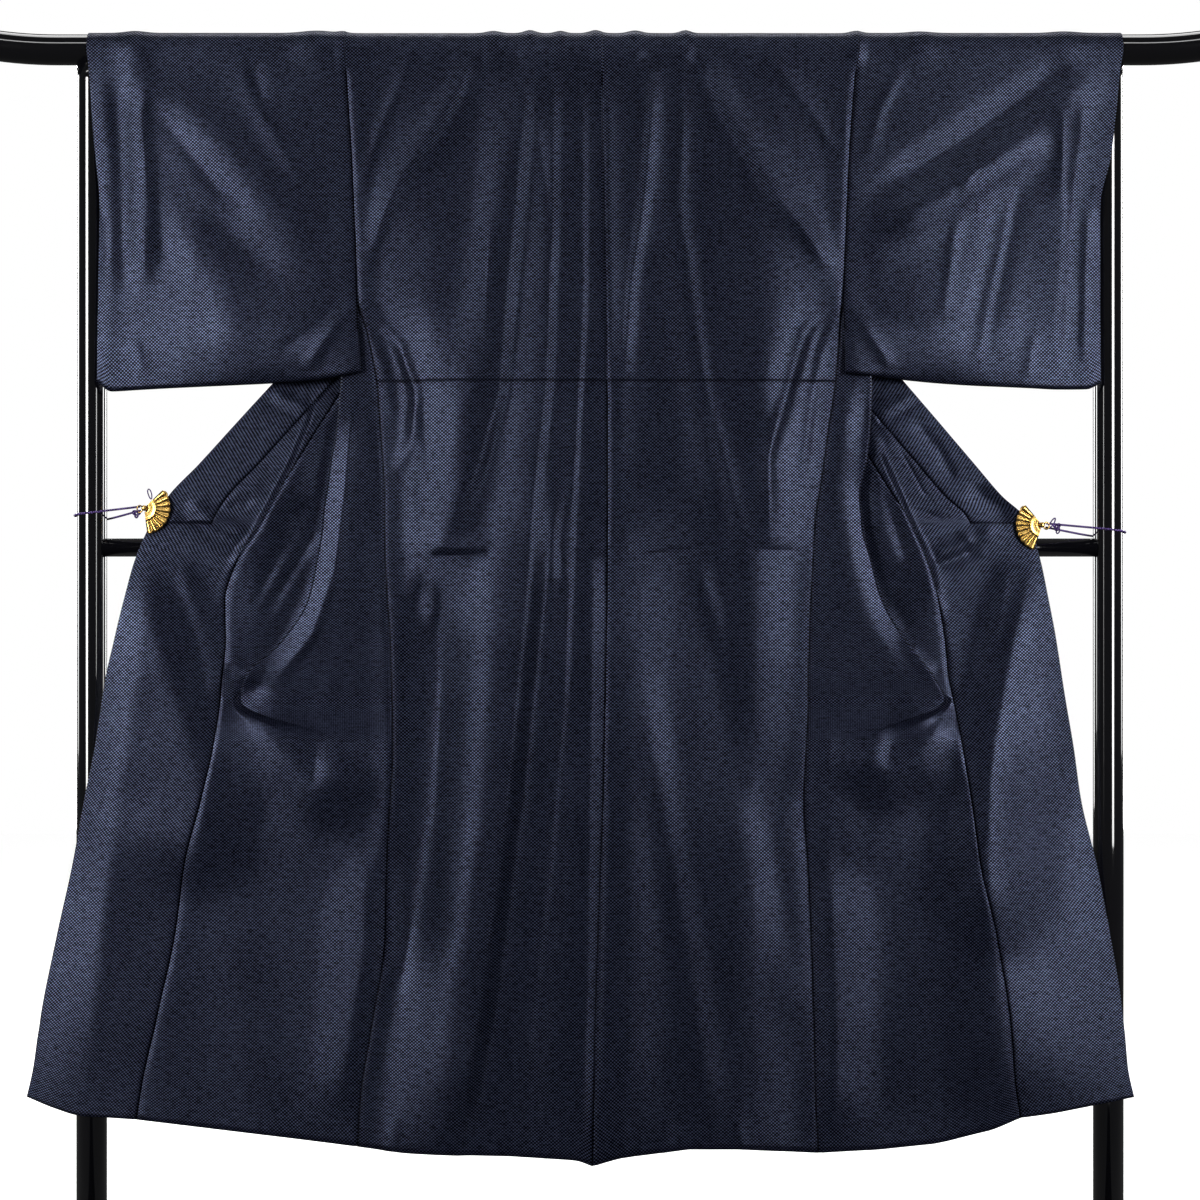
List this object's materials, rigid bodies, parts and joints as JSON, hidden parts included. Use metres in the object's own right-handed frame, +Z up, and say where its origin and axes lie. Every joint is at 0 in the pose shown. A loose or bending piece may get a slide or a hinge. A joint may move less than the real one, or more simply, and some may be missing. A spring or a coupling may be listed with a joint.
{
  "type": "kimono on a display stand",
  "caption": "Men's kimono in dark cloth hung from its shoulders over the bar of a lacquered stand, back to the viewer, fronts drawn out sideways by corded fan clips.",
  "frame": {"origin": "middle of the bounding box at floor level, under the feet of the stand", "axes": "+Z up, +X along the top bar to the right as seen from the kimono's back, the kimono's back faces -Y"},
  "size_m": [1.7906, 0.44, 1.685],
  "materials": {
    "cloth": "dark navy slubby silk with a soft sheen and a tiny woven repeat",
    "lacquer": "high gloss black lacquer",
    "gold": "polished gold",
    "cord": "purple twisted cord"
  },
  "bodies": {
    "root": {"body_left": "cloth", "body_right": "cloth", "okumi_left": "cloth", "okumi_right": "cloth", "collar": "cloth", "sleeve_left": "cloth", "sleeve_right": "cloth", "top_bar": "lacquer", "bar_tip_left": "lacquer", "bar_tip_right": "lacquer", "middle_rail": "lacquer", "upright_left": "lacquer", "upright_right": "lacquer", "foot_left": "lacquer", "foot_right": "lacquer", "clip_front_left": "gold", "clip_rear_left": "gold", "clip_barrel_left": "gold", "clip_front_right": "gold", "clip_rear_right": "gold", "clip_barrel_right": "gold", "cord_left": "cord", "cord_right": "cord"}
  },
  "joints": []
}
